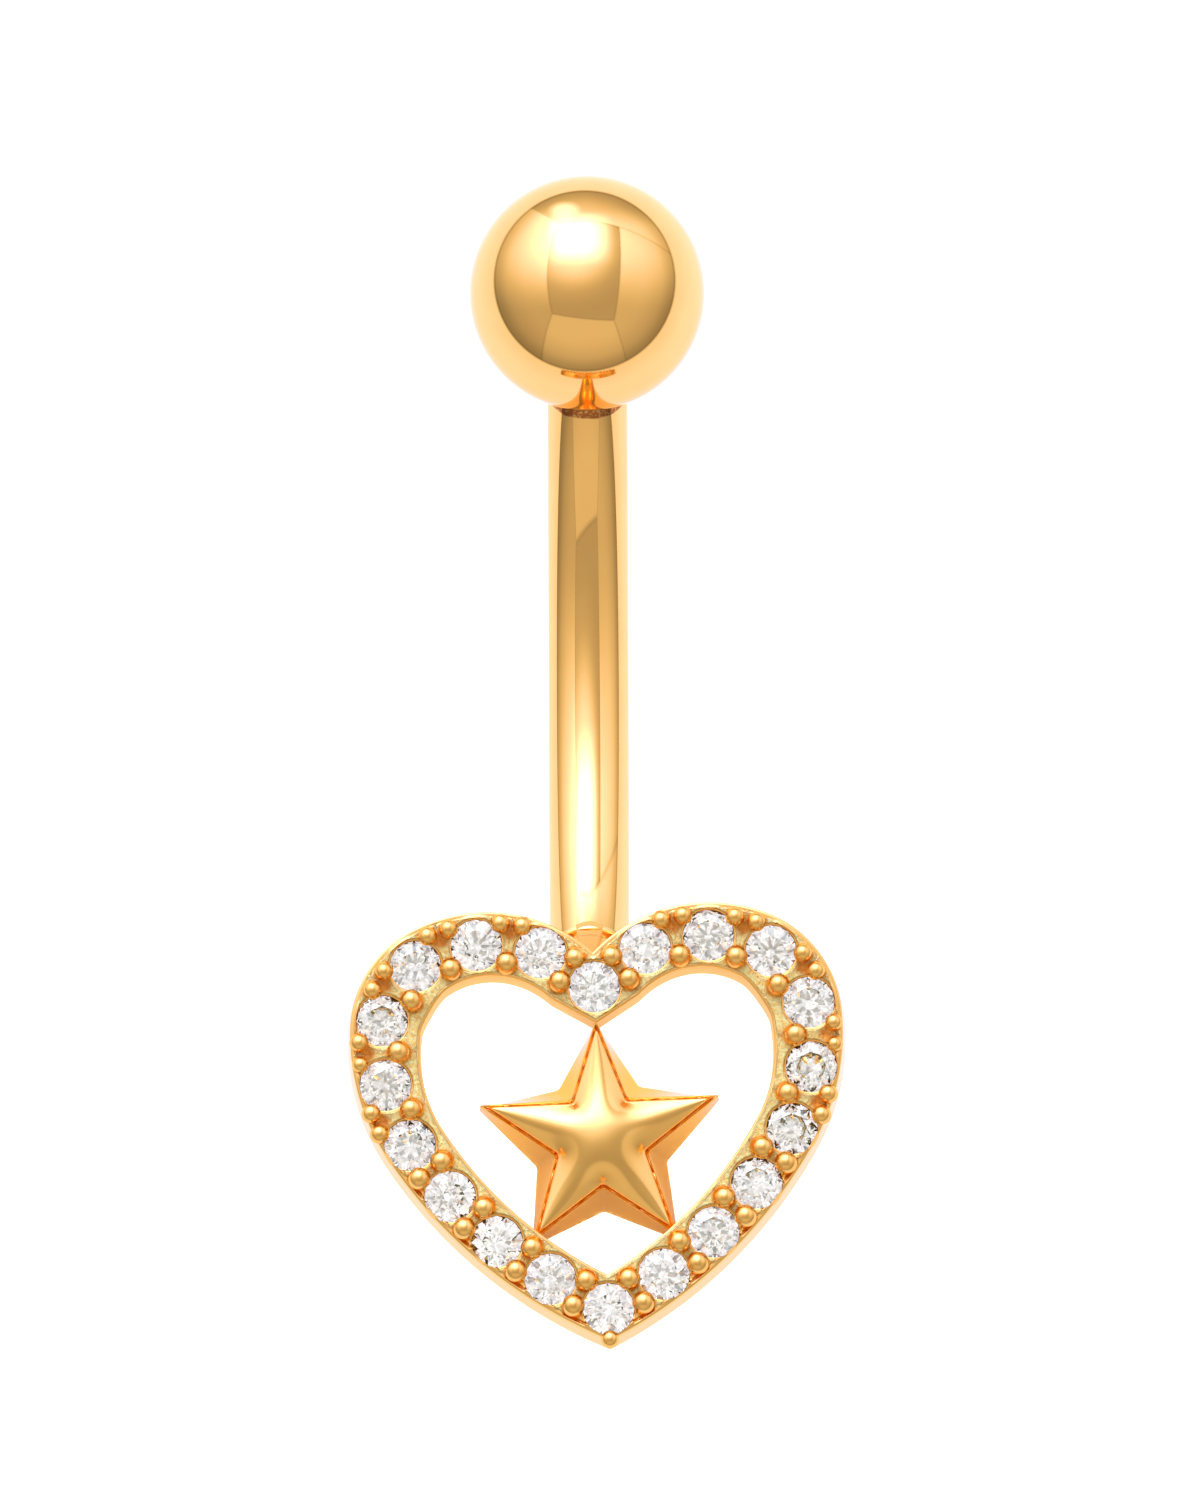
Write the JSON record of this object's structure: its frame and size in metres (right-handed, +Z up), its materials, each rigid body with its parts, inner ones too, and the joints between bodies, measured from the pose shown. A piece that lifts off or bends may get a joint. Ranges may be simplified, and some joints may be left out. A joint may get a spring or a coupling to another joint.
{
  "type": "navel ring",
  "caption": "Curved bar with a screw-on ball at one end and an open heart, set with round stones and framing a domed star, at the other.",
  "frame": {"origin": "middle of the ring's box, on the surface that it lies on", "axes": "+Z up; +Y along the ring from the heart's point to the ball; the face of the heart looks up and to +X, 43 degrees from straight up, because the ring lies rolled on its back"},
  "size_m": [0.0082, 0.0236, 0.0079],
  "materials": {
    "gold": "polished 14 carat yellow gold",
    "clear_stone": "faceted and polished cubic zirconia"
  },
  "bodies": {
    "bar": {"bar_with_heart": "gold", "stone_01": "clear_stone", "stone_02": "clear_stone", "stone_03": "clear_stone", "stone_04": "clear_stone", "stone_05": "clear_stone", "stone_06": "clear_stone", "stone_07": "clear_stone", "stone_08": "clear_stone", "stone_09": "clear_stone", "stone_10": "clear_stone", "stone_11": "clear_stone", "stone_12": "clear_stone", "stone_13": "clear_stone", "stone_14": "clear_stone", "stone_15": "clear_stone", "stone_16": "clear_stone", "stone_17": "clear_stone", "stone_18": "clear_stone", "stone_19": "clear_stone", "stone_20": "clear_stone"},
    "ball": {"ball": "gold"}
  },
  "joints": [
    {"name": "ball_unscrew", "type": "slide", "parent": "bar", "child": "ball", "axis": [0.4045, 0.8493, 0.3391], "range_m": [0, 0.0032]}
  ]
}
